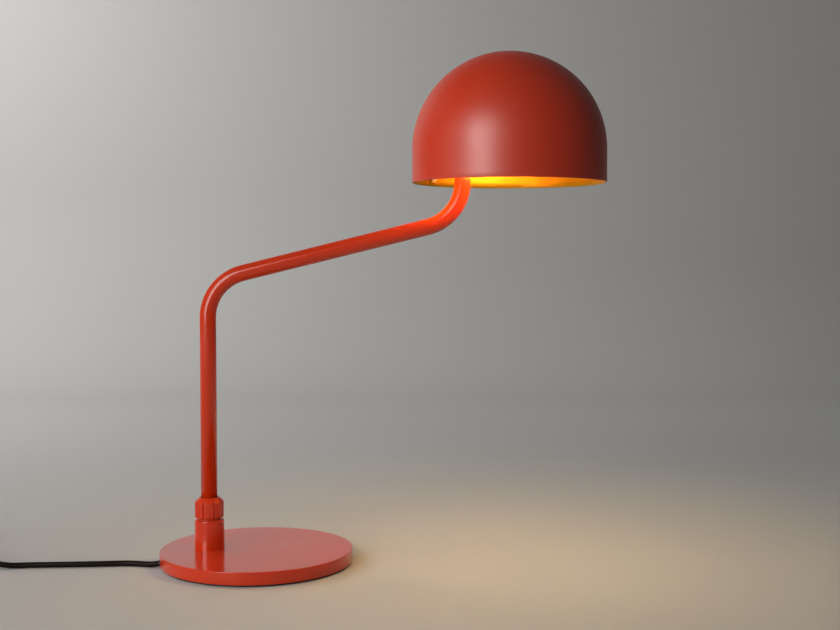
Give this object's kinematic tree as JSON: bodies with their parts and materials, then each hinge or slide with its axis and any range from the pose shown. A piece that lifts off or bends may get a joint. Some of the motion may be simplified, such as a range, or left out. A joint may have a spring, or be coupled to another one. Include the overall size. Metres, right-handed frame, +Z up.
{
  "type": "desk lamp",
  "caption": "Desk lamp with a round weighted base, a grooved clamping nut, a bent tube arm that turns and a dome shade that turns on its upper end.",
  "frame": {"origin": "centre of the base's underside, where the rubber mat meets the table", "axes": "+Z up out of the base, +X from the base's centre towards the shade when the arm is at rest, the cord leaves towards -X; the picture looks along +Y"},
  "size_m": [0.7894, 0.2076, 0.5294],
  "materials": {
    "red_paint_steel": "satin tomato-red lacquer",
    "red_paint_aluminium": "satin tomato-red lacquer outside, pale gold lacquer inside",
    "gold_paint_steel": "satin pale gold lacquer",
    "zinc_steel": "zinc plated",
    "nickel_steel": "nickel plated, bright",
    "nickel_aluminium": "nickel coloured, satin",
    "nickel_brass": "nickel plated, bright",
    "brass": "plain, satin",
    "black_rubber": "matt",
    "cord_sheath": "smooth glossy flexible sheath",
    "core_sheath": "plain insulation",
    "black_plastic": "moulded, lightly textured",
    "white_plastic": "moulded, smooth",
    "porcelain": "white glaze",
    "opal_glass": "opal"
  },
  "bodies": {
    "base": {"base_disc": "red_paint_steel", "foot_pad": "black_rubber", "cover_plate": "zinc_steel", "cover_screws": "zinc_steel", "cord_bush": "black_rubber", "base_cord": "cord_sheath", "base_leads": "core_sheath", "cord_clamp": "black_plastic", "clamp_screws": "zinc_steel", "collar": "red_paint_steel", "collar_washer": "zinc_steel", "collar_nut": "zinc_steel", "stop_screw": "zinc_steel", "cord_lead": "cord_sheath", "switch_base": "black_plastic", "switch_cover": "black_plastic", "switch_contacts": "brass", "switch_screws": "zinc_steel", "cord_link": "cord_sheath", "cord_coil": "cord_sheath", "cord_tail": "cord_sheath", "plug_body": "black_plastic", "pin_sleeves": "black_plastic", "plug_pins": "nickel_brass"},
    "rocker": {"switch_rocker": "white_plastic"},
    "thrust_ring": {"thrust_ring": "brass"},
    "clamp_nut": {"clamp_nut": "red_paint_steel"},
    "collet": {"collet": "brass"},
    "arm": {"arm_tube": "red_paint_steel", "tube_end_bush": "white_plastic", "arm_cord": "core_sheath", "tube_top_bush": "brass", "swivel_washers": "zinc_steel", "swivel_nut": "zinc_steel"},
    "head": {"shade_shell": "red_paint_aluminium", "wall_cleats": "gold_paint_steel", "cleat_nuts": "nickel_steel", "shade_bracket": "zinc_steel", "bar_screws": "zinc_steel", "bar_nuts": "zinc_steel", "head_stop_pin": "zinc_steel", "holder_body": "porcelain", "holder_shell": "brass", "holder_contact": "brass", "holder_terminals": "brass", "holder_screws": "zinc_steel", "holder_leads": "core_sheath", "bulb_cap": "nickel_aluminium", "bulb_insulator": "black_plastic", "bulb_globe": "opal_glass"}
  },
  "joints": [
    {"name": "nut_lift", "type": "slide", "parent": "base", "child": "thrust_ring", "axis": [0, 0, 1], "range_m": [0, 0.0015]},
    {"name": "nut_turn", "type": "hinge", "parent": "thrust_ring", "child": "clamp_nut", "pos_m": [-0.0495, 0, 0.058], "axis": [0, 0, 1], "range_deg": [0, 360]},
    {"name": "arm_swivel", "type": "hinge", "parent": "base", "child": "collet", "pos_m": [-0.0495, 0, 0.055], "axis": [0, 0, 1], "range_deg": [-155, 155]},
    {"name": "arm_height", "type": "slide", "parent": "collet", "child": "arm", "axis": [0, 0, 1], "range_m": [0, 0.012]},
    {"name": "shade_turn", "type": "hinge", "parent": "arm", "child": "head", "pos_m": [0.2145, 0, 0.4232], "axis": [0, 0, 1], "range_deg": [-158, 158]},
    {"name": "switch_rock", "type": "hinge", "parent": "base", "child": "rocker", "pos_m": [-0.306, -0.028, 0.013], "axis": [0, 1, 0], "range_deg": [-14, 0]}
  ],
  "couplings": [
    {"joint": "nut_turn", "follows": "nut_lift", "rad_per_m": 4188.8}
  ]
}
